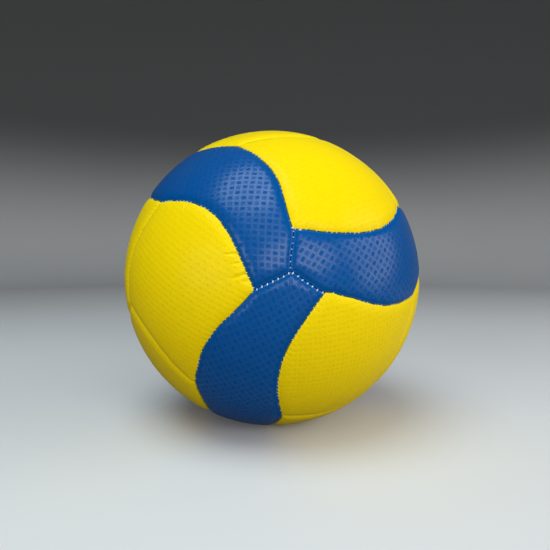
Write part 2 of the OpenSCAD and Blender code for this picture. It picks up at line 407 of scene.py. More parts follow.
# %% One closed piece
def closed_piece(sides, counts, turn, section, thin):
    """section goes from the edge of the top grid to the inside, as (distance, height).
    thin tells how many steps of the outline make one of the top and of the inner grid."""
    edge = side_points(sides, counts)
    rings = [ring(edge, distance) for distance, height in section]
    top, low = (grid_across(rings[k])[::step, ::step]
                for k, step in ((0, thin[0]), (-1, thin[1])))
    parts = [top.reshape(-1, 3), *[loop_of(r) for r in rings[1:-1]], low.reshape(-1, 3)]
    starts = np.cumsum([0] + [len(part) for part in parts])
    directions = np.concatenate(parts)
    sizes = [len(part) for part in parts]
    height = np.repeat([h for d, h in section], sizes)
    distance = np.repeat([d for d, h in section], sizes)
    outline = loop_of(edge)
    distance[:sizes[0]] = BALL_R * np.arccos(np.clip((parts[0] @ outline.T).max(1), -1, 1))

    top_index = np.arange(sizes[0]).reshape(top.shape[:2])
    low_index = starts[-2] + np.arange(sizes[-1]).reshape(low.shape[:2])
    loops = [list(range(starts[k], starts[k + 1])) for k in range(1, len(parts) - 1)]
    faces = grid_faces(top_index) + grid_faces(low_index, flip=True)
    for earlier, later in zip(loops, loops[1:]):
        faces += strip(later, earlier)
    faces += [face[::-1] for face in bridge(loops[0], border_of(top_index))]
    faces += bridge(loops[-1], border_of(low_index))
    return {"directions": drifted(directions @ turn.T), "height": height, "distance": distance,
            "cut": sheet_place(directions, sides), "faces": faces,
            "top": top_index, "low": low_index, "outside": starts[-2]}


def sheet_place(v, sides):
    """The place of each direction on the flat sheet that the panel was cut from, in mm."""
    middle = unit(loop_of(sides).mean(0))
    east = unit(sides[0][-1] - sides[0][0])
    east = unit(east - middle * (east @ middle))
    axes = np.stack([east, np.cross(middle, east), middle])
    return np.radians(flattened(v @ axes.T)) * BALL_R


# %% Do the outlines close?
COUNTS = {"blue": (300, 72), "yellow": (116, 116)}  # steps of the outline along its sides
for colour, sides in SIDES.items():
    edge = side_points(sides, COUNTS[colour])
    gap = max(float(np.linalg.norm(edge[k][-1] - edge[(k + 1) % 4][0])) for k in range(4))
    print(colour, "outline closes within", round(gap * BALL_R, 4), "mm")

# %% [markdown]
# The valve's hole
# The panel on top and its foam have a round hole for the valve. Cutting it with a boolean
# would leave ragged faces on a curved sheet, so a square of the grid is left out instead,
# and the vertices around it are drawn onto a circle.

# %% Opening a hole in a piece
VALVE_HOLE = 4.3  # its radius
VALVE_PANEL = ("yellow", 9)  # panels are counted from 0


def opened(piece, half, lip):
    """Opens a closed piece around the Z axis, over half steps of its grid each way."""
    top, low, v = piece["top"], piece["low"], piece["directions"]
    nearest = np.argwhere(top == top.ravel()[np.argmax(v[top.ravel()][:, 2])])[0]
    row, column = nearest // 2 * 2
    rims = [round_hole(v, top, row, column, half)]
    rims.append(round_hole(v, low, row // 2, column // 2, half // 2))
    gone = {n for rim in rims for n in rim[1]}
    piece["faces"] = [face for face in piece["faces"] if not gone.intersection(face)]
    high, deep = rims[0][0], rims[1][0]
    piece["height"][high] -= lip
    n = len(deep)
    for i in range(n):
        piece["faces"].append((high[2 * i], high[2 * i + 1], high[(2 * i + 2) % (2 * n)],
                               deep[(i + 1) % n], deep[i]))
    keep = np.setdiff1d(np.arange(len(v)), sorted(gone))
    renumber = np.full(len(v), -1)
    renumber[keep] = np.arange(len(keep))
    piece["faces"] = [tuple(renumber[list(face)].tolist()) for face in piece["faces"]]
    piece["outside"] -= len(rims[0][1])
    for key in ("directions", "height", "distance", "cut"):
        piece[key] = piece[key][keep]


def round_hole(v, index, row, column, half):
    """Draws the grid onto a circle. Returns the rim, anticlockwise, and what lies inside."""
    east = v[index[row, column + 1]] - v[index[row, column]]
    facing = math.atan2(east[1], east[0])
    spread = half + 4  # from here on the grid is left as it is
    for i in range(-spread, spread + 1):
        for j in range(-spread, spread + 1):
            away = max(abs(i), abs(j))
            if away >= half:
                angle = facing + math.atan2(i, j)
                reach = VALVE_HOLE * away / half / BALL_R
                goal = unit(np.array([reach * math.cos(angle), reach * math.sin(angle), 1.0]))
                share = 1 - (away - half) / (spread - half + 1)
                number = index[row + i, column + j]
                v[number] = unit(share * goal + (1 - share) * v[number])
    span = range(-half, half)
    steps = ([(-half, k) for k in span] + [(k, half) for k in span]
             + [(half, -k) for k in span] + [(-k, -half) for k in span])
    inner = range(1 - half, half)
    inside = [index[row + i, column + j] for i in inner for j in inner]
    return [index[row + i, column + j] for i, j in steps], inside


# %% [markdown]
# From numbers to objects
# A mesh in Blender is a list of points and a list of faces. Numbers that belong to each
# point, such as its distance from the seam, can be kept in the mesh as attributes, and a
# material can read them. Every soft piece is made this way and rides on the ball.

# %% A mesh piece
def new_piece(name, points, faces, material, numbers=None):
    """A mesh in metres that rides on the ball, with its numbers kept as attributes."""
    mesh = bpy.data.meshes.new(name)
    mesh.from_pydata(np.asarray(points) * MM, [], faces)
    mesh.materials.append(material)
    mesh.polygons.foreach_set("use_smooth", [True] * len(mesh.polygons))
    for key, values in (numbers or {}).items():
        kind = "FLOAT_VECTOR" if np.ndim(values) == 2 else "FLOAT"
        layer = mesh.attributes.new(key, kind, "POINT")
        layer.data.foreach_set("vector" if kind == "FLOAT_VECTOR" else "value",
                               np.asarray(values, np.float32).ravel())
    mesh.update()
    piece = linked(name, mesh)
    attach(piece, "root")
    return piece


# %% [markdown]
# A bench for nodes
# A material is a small machine of nodes. This helper adds a node, plugs its inputs and
# returns what it puts out, so that a recipe reads from top to bottom. Effects that several
# materials share are made once, as groups.

# %% Helper that wires nodes
class Bench:
    def __init__(self, tree):
        self.tree = tree

    def feed(self, socket, value):
        if isinstance(value, bpy.types.NodeSocket):
            self.tree.links.new(value, socket)
        else:
            socket.default_value = value

    def node(self, kind, inputs=None, **settings):
        made = self.tree.nodes.new(kind)
        for name, value in settings.items():
            setattr(made, name, value)
        for name, value in (inputs or {}).items():
            self.feed(made.inputs[name], value)
        return made

    def math(self, operation, *values):
        made = self.node("ShaderNodeMath", operation=operation)
        for socket, value in zip(made.inputs, values):
            self.feed(socket, value)
        return made.outputs[0]

    def between(self, value, low, high, start=0.0, end=1.0):
        """Smooth step of a value from low to high."""
        made = self.node("ShaderNodeMapRange", {"Value": value, "From Min": low, "From Max": high,
                                                "To Min": start, "To Max": end},
                         interpolation_type="SMOOTHSTEP")
        return made.outputs["Result"]

    def blend(self, share, first, second):
        """The first colour at a share of 0, the second at 1."""
        made = self.node("ShaderNodeMix", data_type="RGBA")
        for number, value in ((0, share), (6, first), (7, second)):
            self.feed(made.inputs[number], value)
        return made.outputs[2]

    def noise(self, place, scale, detail=3.0, roughness=0.5):
        return self.node("ShaderNodeTexNoise", {"Vector": place, "Scale": scale, "Detail": detail,
                                                "Roughness": roughness}).outputs["Fac"]

    def vector(self, operation, first, second):
        made = self.node("ShaderNodeVectorMath", {0: first, 1: second}, operation=operation)
        return made.outputs[0]

    def split(self, place):
        return self.node("ShaderNodeSeparateXYZ", {0: place}).outputs

    def stored(self, name):
        """The outputs of a number that is kept with the mesh."""
        return self.node("ShaderNodeAttribute", attribute_name=name).outputs

    def use(self, tree, inputs):
        """Places a group, with values of its own."""
        return self.node("ShaderNodeGroup", inputs, node_tree=tree)

    def bump(self, height, metres):
        made = self.node("ShaderNodeBump", {"Height": height, "Distance": metres})
        return made.outputs["Normal"]

    def surface(self, inputs):
        """Feeds the shader of a material."""
        shader = self.tree.nodes["Principled BSDF"]
        for name, value in inputs.items():
            self.feed(shader.inputs[name], value)


# %% New materials and groups
def new_material(name):
    """A material and its bench."""
    material = bpy.data.materials.new(name)
    material.use_nodes = True
    return material, Bench(material.node_tree)


def group(name, inputs, outputs):
    """A node group with named sockets, its bench, and its two ends."""
    tree = bpy.data.node_groups.new(name, "ShaderNodeTree")
    for label, kind, value in inputs:
        made = tree.interface.new_socket(label, in_out="INPUT", socket_type=kind)
        if value is not None:
            made.default_value = value
    for label, kind in outputs:
        tree.interface.new_socket(label, in_out="OUTPUT", socket_type=kind)
    bench = Bench(tree)
    return tree, bench, bench.node("NodeGroupInput"), bench.node("NodeGroupOutput")


FLOAT, VECTOR = "NodeSocketFloat", "NodeSocketVector"

# %% [markdown]
# The pressed grid of the leather
# The sheet was pressed with a pattern like a basket weave: rounded pits about three
# millimetres apart, a little farther one way than the other, and every other one deeper,
# with thin ridges between them. On the blue they are nearly square, on the yellow they
# are short dashes. The pattern is far too fine for the mesh, so a group works out its
# height from the place on the sheet, and also how well each spot takes a polish.

# %% Group: pressed grid
pressed_grid, g, start, end = group(
    "pressed_grid",
    [("Place", VECTOR, None), ("Pitch", FLOAT, 3.5), ("Angle", FLOAT, 0.0), ("Dash", FLOAT, 0.0)],
    [("Height", FLOAT), ("Pit", FLOAT), ("Ridge", FLOAT), ("Polish", FLOAT)])
STRETCH = 1.16  # how much farther apart the pits lie along than across
WANDER = 0.8  # mm that the lines may stray
place, pitch = start.outputs["Place"], start.outputs["Pitch"]
wobble = g.node("ShaderNodeTexNoise", {"Vector": place, "Scale": 0.09, "Detail": 1.0})
loose = g.vector("SUBTRACT", wobble.outputs["Color"], (0.5, 0.5, 0.5))
place = g.vector("ADD", place, g.vector("MULTIPLY", loose, (WANDER,) * 3))
turned = g.node("ShaderNodeVectorRotate", {"Vector": place, "Angle": start.outputs["Angle"]},
                rotation_type="Z_AXIS")
parts = g.split(turned.outputs[0])
across = g.math("DIVIDE", parts[0], pitch)
along = g.math("DIVIDE", parts[1], g.math("MULTIPLY", pitch, STRETCH))
odd = g.math("ADD", g.math("FLOOR", across), g.math("FLOOR", along))
odd = g.math("FLOORED_MODULO", odd, 2.0)
x = g.math("SUBTRACT", g.math("FRACT", across), 0.5)
y = g.math("SUBTRACT", g.math("FRACT", along), 0.5)
dash = start.outputs["Dash"]
# half the size of a pit, as a share of its cell, for squares and for dashes
wide = g.math("MULTIPLY_ADD", dash, 0.10, g.math("MULTIPLY_ADD", odd, 0.10, 0.30))
tall = g.math("MULTIPLY_ADD", dash, -0.16, g.math("MULTIPLY_ADD", odd, -0.10, 0.40))
oval = g.math("ADD", g.math("POWER", g.math("ABSOLUTE", g.math("DIVIDE", x, wide)), 2.6),
              g.math("POWER", g.math("ABSOLUTE", g.math("DIVIDE", y, tall)), 2.6))
pit = g.between(oval, 1.3, 0.2)
deep = g.math("MULTIPLY", pit, g.math("MULTIPLY_ADD", odd, -0.6, 1.0))
ridge = g.between(g.math("MAXIMUM", g.math("ABSOLUTE", x), g.math("ABSOLUTE", y)), 0.22, 0.47)
g.feed(end.inputs["Height"], g.math("SUBTRACT", g.math("MULTIPLY", ridge, 0.45), deep))
g.feed(end.inputs["Pit"], deep)
g.feed(end.inputs["Ridge"], ridge)
g.feed(end.inputs["Polish"], g.math("MULTIPLY", g.math("MULTIPLY_ADD", deep, -0.85, 1.0),
                                    g.math("MULTIPLY_ADD", ridge, 0.5, 0.5)))

# %% [markdown]
# Pores and handling
# Between the pressed lines the leather has fine pores, and hands and floors leave it a
# little duller and dirtier in broad patches. Both effects serve the two colours alike, so
# they are groups too.

# %% Group: fine pores
fine_pores, g, start, end = group(
    "fine_pores", [("Place", VECTOR, None), ("Scale", FLOAT, 2.4)],
    [("Height", FLOAT), ("Mottle", FLOAT)])
place, scale = start.outputs["Place"], start.outputs["Scale"]
cells = g.node("ShaderNodeTexVoronoi", {"Vector": place, "Scale": scale}, feature="SMOOTH_F1")
cells = g.math("MULTIPLY", cells.outputs["Distance"], 0.6)
grain = g.noise(place, g.math("MULTIPLY", scale, 0.7), 4.0, 0.6)
g.feed(end.inputs["Height"], g.math("ADD", cells, grain))
g.feed(end.inputs["Mottle"], g.noise(place, 0.16, 4.0, 0.6))

# %% Group: handling
handling, g, start, end = group(
    "handling", [("Place", VECTOR, None), ("Seam distance", FLOAT, 5.0)],
    [("Dull", FLOAT), ("Dirt and seam darkening", FLOAT)])
patches = g.noise(start.outputs["Place"], 0.045, 5.0, 0.62)
# The colour gets darker close to the seam; the specks below are dirt in broad patches.
near_seam = g.between(start.outputs["Seam distance"], 0.75, 0.1)
specks = g.between(g.noise(start.outputs["Place"], 0.9, 2.0, 0.7), 0.62, 0.78)
g.feed(end.inputs["Dull"], g.between(patches, 0.35, 0.7))
g.feed(end.inputs["Dirt and seam darkening"], g.math("MAXIMUM", g.math("MULTIPLY", near_seam, 0.25),
                                  g.math("MULTIPLY", specks, g.math("MULTIPLY", patches, 0.25))))


# %% [markdown]
# The leather of the panels
# Both colours are the same sheet with another dye. The pressed grid fades towards the
# border, where the leather is stretched over the edge of the foam. The pits are painted a
# little darker, as painted shade, and the ridges and the fold along the seam are painted
# paler, as a painted highlight. Right at the seam the colour is darker. The shine is a thin
# coat on what stands up, the ridges and the fold, so that a highlight breaks up into the
# lines of the pattern.

# %% Material: leather
FADE = 2.6  # mm over which the pressed grid fades in
# The fold near the seam gets a coat and a painted highlight: its paler colour stands in for light
# catching the roll.
RIM = (0.2, 1.5)  # the pale fold, in mm from the seam
PORE_DEPTH = 0.05


def leather(name, colour, mottle_and_pit_shade_colour, painted_highlight_colour, dirt_and_seam_colour, weave, fade_from, polish):
    """weave is the pitch in mm, the angle in degrees, 0 for squares or 1 for dashes, and
    the depth in mm. fade_from is how far from the seam the pattern starts."""
    pitch, angle, dash, depth = weave
    material, b = new_material(name)
    place = b.stored("sheet_place")["Vector"]
    distance = b.stored("seam_distance")["Fac"]
    grid = b.use(pressed_grid, {"Place": place, "Pitch": pitch, "Dash": dash,
                                "Angle": math.radians(angle)})
    pores = b.use(fine_pores, {"Place": place})
    hands = b.use(handling, {"Place": place, "Seam distance": distance})
    fade = b.between(distance, fade_from, fade_from + FADE)
    mottle = b.math("MULTIPLY", b.between(pores.outputs["Mottle"], 0.3, 0.75), 0.2)
    tint = b.blend(mottle, colour, mottle_and_pit_shade_colour)
    grid_shade_and_sheen = b.math("MULTIPLY", fade, 0.02 + 0.09 * dash)
    # Painted shade and painted highlight: the pits are darkened in colour and the ridges paled,
    # standing in for shade in the pits and sheen on the ridges.
    tint = b.blend(b.math("MULTIPLY", grid.outputs["Pit"], grid_shade_and_sheen), tint, mottle_and_pit_shade_colour)
    tint = b.blend(b.math("MULTIPLY", grid.outputs["Ridge"], grid_shade_and_sheen), tint, painted_highlight_colour)
    # Painted highlight: close to the seam the colour is blended towards the pale highlight colour;
    # the same mask also gives the fold its coat.
    rim = b.between(distance, *RIM, 0.9, 0.0)
    tint = b.blend(rim, tint, painted_highlight_colour)
    # Darker colour close to the seam, and dirt specks in patches.
    tint = b.blend(hands.outputs["Dirt and seam darkening"], tint, dirt_and_seam_colour)
    rough = b.math("MULTIPLY_ADD", hands.outputs["Dull"], 0.06, 0.30)
    rough = b.math("MULTIPLY_ADD", grid.outputs["Pit"], b.math("MULTIPLY", fade, 0.12), rough)
    rubbed = b.math("MULTIPLY", polish, b.math("MULTIPLY_ADD", hands.outputs["Dull"], -0.3, 1.0))
    raised = b.math("MAXIMUM", rim, b.math("MULTIPLY", grid.outputs["Polish"], fade))
    pressed = b.math("MULTIPLY", grid.outputs["Height"], b.math("MULTIPLY", fade, depth))
    height = b.math("ADD", pressed, b.math("MULTIPLY", pores.outputs["Height"], PORE_DEPTH))
    b.surface({"Base Color": tint, "Roughness": rough, "Normal": b.bump(height, MM),
               "Specular IOR Level": 0.02, "Coat Weight": b.math("MULTIPLY", rubbed, raised),
               "Coat Roughness": 0.25})
    return material


blue_leather = leather(
    "blue_leather", (0.000, 0.070, 0.262, 1), mottle_and_pit_shade_colour=(0.000, 0.042, 0.185, 1),
    painted_highlight_colour=(0.004, 0.112, 0.375, 1), dirt_and_seam_colour=(0.001, 0.020, 0.085, 1),
    weave=(3.5, 35, 0.0, 0.075), fade_from=1.2, polish=0.74)
yellow_leather = leather(
    "yellow_leather", (0.860, 0.618, 0.001, 1), mottle_and_pit_shade_colour=(0.780, 0.505, 0.001, 1),
    painted_highlight_colour=(0.930, 0.690, 0.010, 1), dirt_and_seam_colour=(0.300, 0.200, 0.002, 1),
    weave=(2.9, -13, 1.0, 0.065), fade_from=0.6, polish=0.15)
print("leather in two colours, with", len(bpy.data.node_groups), "shared groups")

# %% [markdown]
# Where the needle went in
# The needle goes in every three millimetres along each seam. The spots are worked out
# first, because the thread pulls the leather in there. Each spot keeps the direction of
# its seam too, and a pull in mm.

# %% Spots of the stitches
PITCH = 2.95  # from stitch to stitch
SPARE = 2.0  # so much of a seam's length counts for no stitch
PULL, STRONG_PULL = 0.3, 0.5  # depth of a pleat where the thread is tightest
rows = []
for arm in range(3):
    for flip in range(4):
        for kind, path in SEAMS.items():
            sewn = drifted(path @ placed(arm, flip).T)
            count = int((mm_long(sewn) - SPARE) / PITCH)
            ends = evenly(sewn, 2 * count + 1)
            front = flip == 0
            rows.append({"kind": kind, "front": front, "spots": ends[1::2],
                         "along": unit(ends[2::2] - ends[:-2:2]),
                         "falls": sewn[-1][2] < sewn[0][2],
                         "pull": STRONG_PULL if front and kind == "inner" else PULL})
spots = np.concatenate([row["spots"] for row in rows])
alongs = np.concatenate([row["along"] for row in rows])
pulls = np.concatenate([np.full(len(row["spots"]), row["pull"]) for row in rows])
pulls *= np.random.default_rng(5).uniform(0.35, 1.0, len(spots))
print("stitches:", len(spots), "in", len(rows), "rows")

# %% [markdown]
# Pleats and creases
# A tight stitch gathers the border of both panels, so a short pleat runs across the seam
# at each one. Five creases go on from the seam into a panel, most of them at the left of
# the middle. A bump in the material would leave the outline smooth, so the points
# themselves are moved down.

# %% Pleats and creases
PLEAT_WIDTH, PLEAT_REACH = 0.75, 2.3  # along the seam and across it
PLEAT_END = 6  # beyond this distance from the seam nothing is left of a pleat
CREASE_WIDTH = 0.7
CREASES = [
    # start near the seam, end in the panel, depth in mm
    ((-0.277, -0.943, 0.184), (-0.347, -0.922, 0.173), 1.00),
    ((-0.283, -0.950, 0.132), (-0.313, -0.942, 0.122), 0.70),
    ((-0.233, -0.969, 0.079), (-0.315, -0.948, 0.048), 1.25),
    ((-0.212, -0.976, 0.048), (-0.258, -0.966, 0.030), 0.85),
    ((-0.556, -0.699, 0.450), (-0.570, -0.719, 0.397), 0.30),
]


def pulled_in(points, distance):
    """Points of a skin's outside, with pleats, creases and soft unevenness."""
    away = np.linalg.norm(points, axis=1)
    v = points / away[:, None]
    dip = uneven(v, *HILLS["leather"]) * np.clip(distance / 3, 0, 1)
    near = np.flatnonzero(distance < PLEAT_END)
    close = (spots @ v.T).max(1) > math.cos((PLEAT_END + 2) / BALL_R)
    slip = BALL_R * (v[near] @ alongs[close].T - (spots * alongs)[close].sum(1))
    reach = BALL_R * np.arccos(np.clip(v[near] @ spots[close].T, -1, 1))
    pleat = pulls[close] * np.exp(-(slip / PLEAT_WIDTH) ** 2) * np.exp(-(reach / PLEAT_REACH) ** 2)
    dip[near] += pleat.max(1) * np.clip(distance[near] / 0.3, 0, 1)  # none at the seam itself
    for start, end, depth in CREASES:
        start, end = unit(np.array(start)), unit(np.array(end))
        line = end - start
        share = np.clip(((v - start) @ line) / (line @ line), 0, 1)
        gap = BALL_R * np.linalg.norm(v - start - share[:, None] * line, axis=1)
        dip += depth * (1 - share) ** 0.6 * np.exp(-(gap / CREASE_WIDTH) ** 2)
    return v * (away - dip)[:, None]


# %% [markdown]
# The skins
# Now the eighteen skins can be made. Two attributes go with each mesh for the leather: the
# place on the cut sheet, and the distance from the seam. One panel was cut from the sheet
# the other way round, so its pattern lies across. The panel with the deepest creases gets
# a finer grid.

# %% Make the skins
PUCKERED_PANEL = ("yellow", 8)
GRAIN = {("yellow", 4): 84}  # degrees that a panel was turned on the sheet
SHEET_STEP = 40.0  # mm between the sheets, so that no two panels have the same marks


def on_sheet(cut, number):
    """Places on a flat sheet, with a sheet of its own for each number."""
    return np.column_stack([cut, np.full(len(cut), SHEET_STEP * number)])


def turned_flat(points, degrees):
    """Places on a sheet, turned about its middle."""
    c, s = math.cos(math.radians(degrees)), math.sin(math.radians(degrees))
    return points @ np.array([[c, s], [-s, c]])


skins = []
for colour, material in (("blue", blue_leather), ("yellow", yellow_leather)):
    for k, turn in enumerate(TURNS[colour]):
        counts, thin = COUNTS[colour], (2, 4)
        if (colour, k) == PUCKERED_PANEL:
            counts, thin = (200, 200), (1, 4)
        shape = closed_piece(SIDES[colour], counts, turn, skin_section(colour), thin)
        if (colour, k) == VALVE_PANEL:
            opened(shape, half=4, lip=0.35)
        points = shape["directions"] * shape["height"][:, None]
        outer = np.arange(len(points)) < shape["outside"]
        points[outer] = pulled_in(points[outer], shape["distance"][outer])
        flat = turned_flat(shape["cut"], GRAIN.get((colour, k), 0))
        numbers = {"sheet_place": on_sheet(flat, k), "seam_distance": shape["distance"]}
        piece = new_piece(f"{colour}_skin_{k + 1}", points, shape["faces"], material,
                          numbers)
        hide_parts(f"{colour}_panel_{k + 1}")
        skins.append(piece)
print("skins:", len(skins), "with", sum(len(piece.data.polygons) for piece in skins), "faces")

# %% [markdown]
# Foam behind the skins
# Behind each skin lies a pad of pale closed-cell foam, which makes the ball soft to hit. A
# pad is a low cushion: crowned on top, rounded at its edge, and flat on the lining. It is
# hidden, but whoever takes the ball apart finds it, so it gets its cells and its marks.

# %% Material: foam
foam, b = new_material("foam")
place = b.stored("sheet_place")["Vector"]
cells = b.node("ShaderNodeTexVoronoi", {"Vector": place, "Scale": 1.6}, feature="F1")
bubbles = cells.outputs["Distance"]
broad = b.noise(place, 0.05, 4.0, 0.6)
tint = b.blend(b.between(bubbles, 0.1, 0.6), (0.80, 0.80, 0.76, 1), (0.66, 0.66, 0.62, 1))
tint = b.blend(b.between(broad, 0.45, 0.75, 0.0, 0.5), tint, (0.76, 0.70, 0.52, 1))
b.surface({"Base Color": tint, "Roughness": b.math("MULTIPLY_ADD", broad, 0.1, 0.82),
           "Normal": b.bump(bubbles, 0.2 * MM)})

# %% Make the pads
FOAM_INSET = 3.05  # from a seam to the foam
PAD_ROUND = 1.1  # radius of a pad's upper edge
PAD_SECTION = [(FOAM_INSET + 4, FOAM_TOP), (FOAM_INSET + 2, FOAM_TOP - 0.04)]
for a in (1.3, 0.9, 0.5, 0.0):
    PAD_SECTION.append((FOAM_INSET + PAD_ROUND * (1 - math.cos(a)),
                        FOAM_TOP - PAD_ROUND * (1 - math.sin(a)) - 0.06))
PAD_SECTION += [(FOAM_INSET + 0.1, FOAM_BOTTOM + 0.25), (FOAM_INSET + 0.5, FOAM_BOTTOM),
                (FOAM_INSET + 3, FOAM_BOTTOM)]
for colour, counts in (("blue", (84, 24)), ("yellow", (40, 40))):
    for k, turn in enumerate(TURNS[colour]):
        shape = closed_piece(SIDES[colour], counts, turn, PAD_SECTION, (1, 2))
        if (colour, k) == VALVE_PANEL:
            opened(shape, half=2, lip=0.2)
        dents = uneven(shape["directions"], *HILLS["foam"])
        dents *= np.clip((shape["height"] - FOAM_BOTTOM) / 3, 0, 1)
        points = shape["directions"] * (shape["height"] - dents)[:, None]
        piece = new_piece(f"{colour}_foam_{k + 1}", points, shape["faces"], foam,
                          {"sheet_place": on_sheet(shape["cut"], k)})
        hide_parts(f"{colour}_pad_{k + 1}")
print("foam pads: 18, each", round(FOAM_TOP - FOAM_BOTTOM, 1), "mm thick")

# %% [markdown]
# Stitches
# White thread holds the panels together along every seam. Most of it is pulled deep into
# the groove. In front seven bars in ten peek out of it, and between two yellow panels only
# a few. At the front pole two seams are looser, so their stitches ride up on the lower
# band. A little above the pole are two knots. Each bar is a small arched thread of its
# own, because a texture could not stand up from the groove.

# %% Material: thread
thread_white, b = new_material("thread_white")
place = b.node("ShaderNodeTexCoord").outputs["Object"]
fibres = b.noise(place, 2600, 3.0, 0.6)
tint = b.blend(b.between(fibres, 0.3, 0.7), (0.62, 0.61, 0.56, 1), (0.86, 0.86, 0.82, 1))
grubby = b.between(b.noise(place, 60, 3.0), 0.5, 0.8, 0.0, 0.6)
tint = b.blend(grubby, tint, (0.38, 0.40, 0.40, 1))
b.surface({"Base Color": tint, "Roughness": b.math("MULTIPLY_ADD", fibres, 0.2, 0.5),
           "Normal": b.bump(fibres, 0.08 * MM)})

# %% One stitch
RING_OF_SIX = [(math.cos(a), math.sin(a)) for a in np.arange(6) * math.pi / 3]


def one_stitch(points, faces, spot, along, size):
    """Adds a short arched thread across the seam at a spot."""
    half, thick, height, slant, aside = size
    across = np.cross(spot, along)
    axis = math.cos(slant) * across + math.sin(slant) * along
    other = np.cross(axis, spot)
    first = len(points)
    stations = (-1.0, -0.8, -0.35, 0.35, 0.8, 1.0)
    for s in stations:
        middle = spot * (height - 0.5 * half * s * s) + across * aside + axis * s * half
        girth = thick / 2 * math.sqrt(max(1 - 0.86 * s * s, 0.05))  # thin at both ends
        points += [middle + girth * (c * other + e * spot) for c, e in RING_OF_SIX]
    for k in range(len(stations) - 1):
        a, n = first + 6 * k, first + 6 * (k + 1)
        faces += [(a + i, n + i, n + (i + 1) % 6, a + (i + 1) % 6) for i in range(6)]
    faces += [tuple(range(first, first + 6))[::-1], tuple(range(first + 30, first + 36))]


# %% Stitches along the seams
KNOTS = [
    # place, direction across the thread
    ((0.008, -0.949, 0.316), (0.3, 0, 1)),
    ((0.047, -0.951, 0.306), (-0.2, 0, 1)),
]
# half its length, thickness, height from the ball's centre, slant in radians, and how far
# it lies to the side of the seam
LOOSE = (0.9, 0.74, 103.75, 0.4, 0.75)
TIGHT = (0.6, 0.5, 103.35, 0.3, 0.0)
PEEKING = (0.6, 0.5, 103.65, 0.5, 0.0)
DEEP = (0.6, 0.5, 102.4, 0.5, 0.0)
KNOT = (1.0, 0.85, 103.8, 0.2, 0.0)
points, faces = [], []
pick = np.random.default_rng(3)
for row in rows:
    at_pole = row["kind"] == "pole" and row["front"]
    peeks = 0.7 if row["front"] and row["kind"] != "yellow" else 0.15
    for spot, along in zip(row["spots"], row["along"]):
        if at_pole:
            size = LOOSE if row["falls"] else TIGHT
        else:
            size = PEEKING if pick.uniform() < peeks else DEEP
        half, thick, height, slant, aside = size
        down = -1.0 if np.cross(spot, along)[2] > 0 else 1.0
        one_stitch(points, faces, spot, along,
                   (half * pick.uniform(0.85, 1.1), thick, height + pick.uniform(-0.12, 0.12),
                    slant + pick.uniform(-0.2, 0.2), aside * down))
for spot, along in KNOTS:
    one_stitch(points, faces, unit(np.array(spot)), unit(np.array(along)), KNOT)
stitches = new_piece("stitches", points, faces, thread_white)
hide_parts("seam_thread")
print("thread bars:", len(points) // 36)

# %% [markdown]
# Lining, bladder and valve
# Inside the cover lies a cloth ball that holds the shape, and in it the rubber bladder that
# holds the air. Both are balls with a hole for the valve, so one function makes them. The
# cloth is sewn from eight gores and the bladder is moulded in two halves, which shows as
# low ridges. The valve's two rubber pieces keep the shapes of the construction model.

# %% A hollow ball with ridges
def hollow_ball(outer, wall, ridge_at, ridge_height, rows=72, columns=144):
    """Points, faces and the place of each point as longitude and latitude in mm."""
    start = math.asin(VALVE_HOLE / outer)
    points, place = [], []
    for radius in (outer, outer - wall):
        for fall in np.linspace(start, math.pi - 0.02, rows):  # a small face closes the bottom
            for k in range(columns):
                turn = 2 * math.pi * k / columns
                v = np.array([math.sin(fall) * math.cos(turn), math.sin(fall) * math.sin(turn),
                              math.cos(fall)])
                rise = ridge_height * ridge_at(v, turn) if radius == outer else 0.0
                points.append(v * (radius + rise))
                place.append((radius * turn, radius * fall, radius))
    faces = []
    for layer in (0, 1):
        first = layer * rows * columns
        for r in range(rows - 1):
            for k in range(columns):
                a, c = first + r * columns + k, first + r * columns + (k + 1) % columns
                face = (a, a + columns, c + columns, c)
                faces.append(face if layer == 0 else face[::-1])
        last = [first + (rows - 1) * columns + k for k in range(columns)]
        faces.append(last[::-1] if layer == 0 else last)
    for k in range(columns):
        n, inner = (k + 1) % columns, rows * columns
        faces.append((n, inner + n, inner + k, k))
    return points, faces, place


# %% The ridges
GORES = 8
GORE_R, GORE_RIDGE = 100, 1.6  # where the ridges lie, and how wide they are
MOULD_R, MOULD_RIDGE = 99, 0.9


def gore_seams(v, turn):
    """1 on the seams of the cloth, which run from the valve to the bottom."""
    share = 2 * math.pi / GORES
    wrapped = (turn / share + 0.5) % 1 - 0.5
    return math.exp(-(wrapped * share * math.hypot(v[0], v[1]) * GORE_R / GORE_RIDGE) ** 2)


def mould_line(v, turn):
    """1 where the two halves of the mould met."""
    return math.exp(-(v[0] * MOULD_R / MOULD_RIDGE) ** 2)


# %% [markdown]
# Cloth and rubber
# The lining is a plain weave, brown in places from the glue. Rubber gets a pale bloom in
# patches as it ages, and it has a fine grain from the mould. Three pieces of rubber share
# that, so it is a group, and each piece has it at its own scale.

# %% Group: bloom on rubber
rubber_bloom, g, start, end = group(
    "rubber_bloom", [("Place", VECTOR, None), ("Scale", FLOAT, 40.0)],
    [("Bloom", FLOAT), ("Height", FLOAT)])
place, scale = start.outputs["Place"], start.outputs["Scale"]
g.feed(end.inputs["Bloom"], g.noise(place, scale, 5.0, 0.65))
g.feed(end.inputs["Height"], g.noise(place, g.math("MULTIPLY", scale, 25.0), 3.0, 0.6))


# %% Material: rubber
def rubber(name, dark, pale, roughness, scale):
    """Rubber with its bloom, from a dark and a pale colour."""
    material, b = new_material(name)
    place = b.node("ShaderNodeTexCoord").outputs["Object"]
    bloom = b.use(rubber_bloom, {"Place": place, "Scale": scale})
    share = b.between(bloom.outputs["Bloom"], 0.4, 0.75)
    rough = b.math("MULTIPLY_ADD", bloom.outputs["Bloom"], 0.25, roughness)
    b.surface({"Base Color": b.blend(share, dark, pale), "Roughness": rough,
               "Normal": b.bump(bloom.outputs["Height"], 0.06 * MM)})
    return material


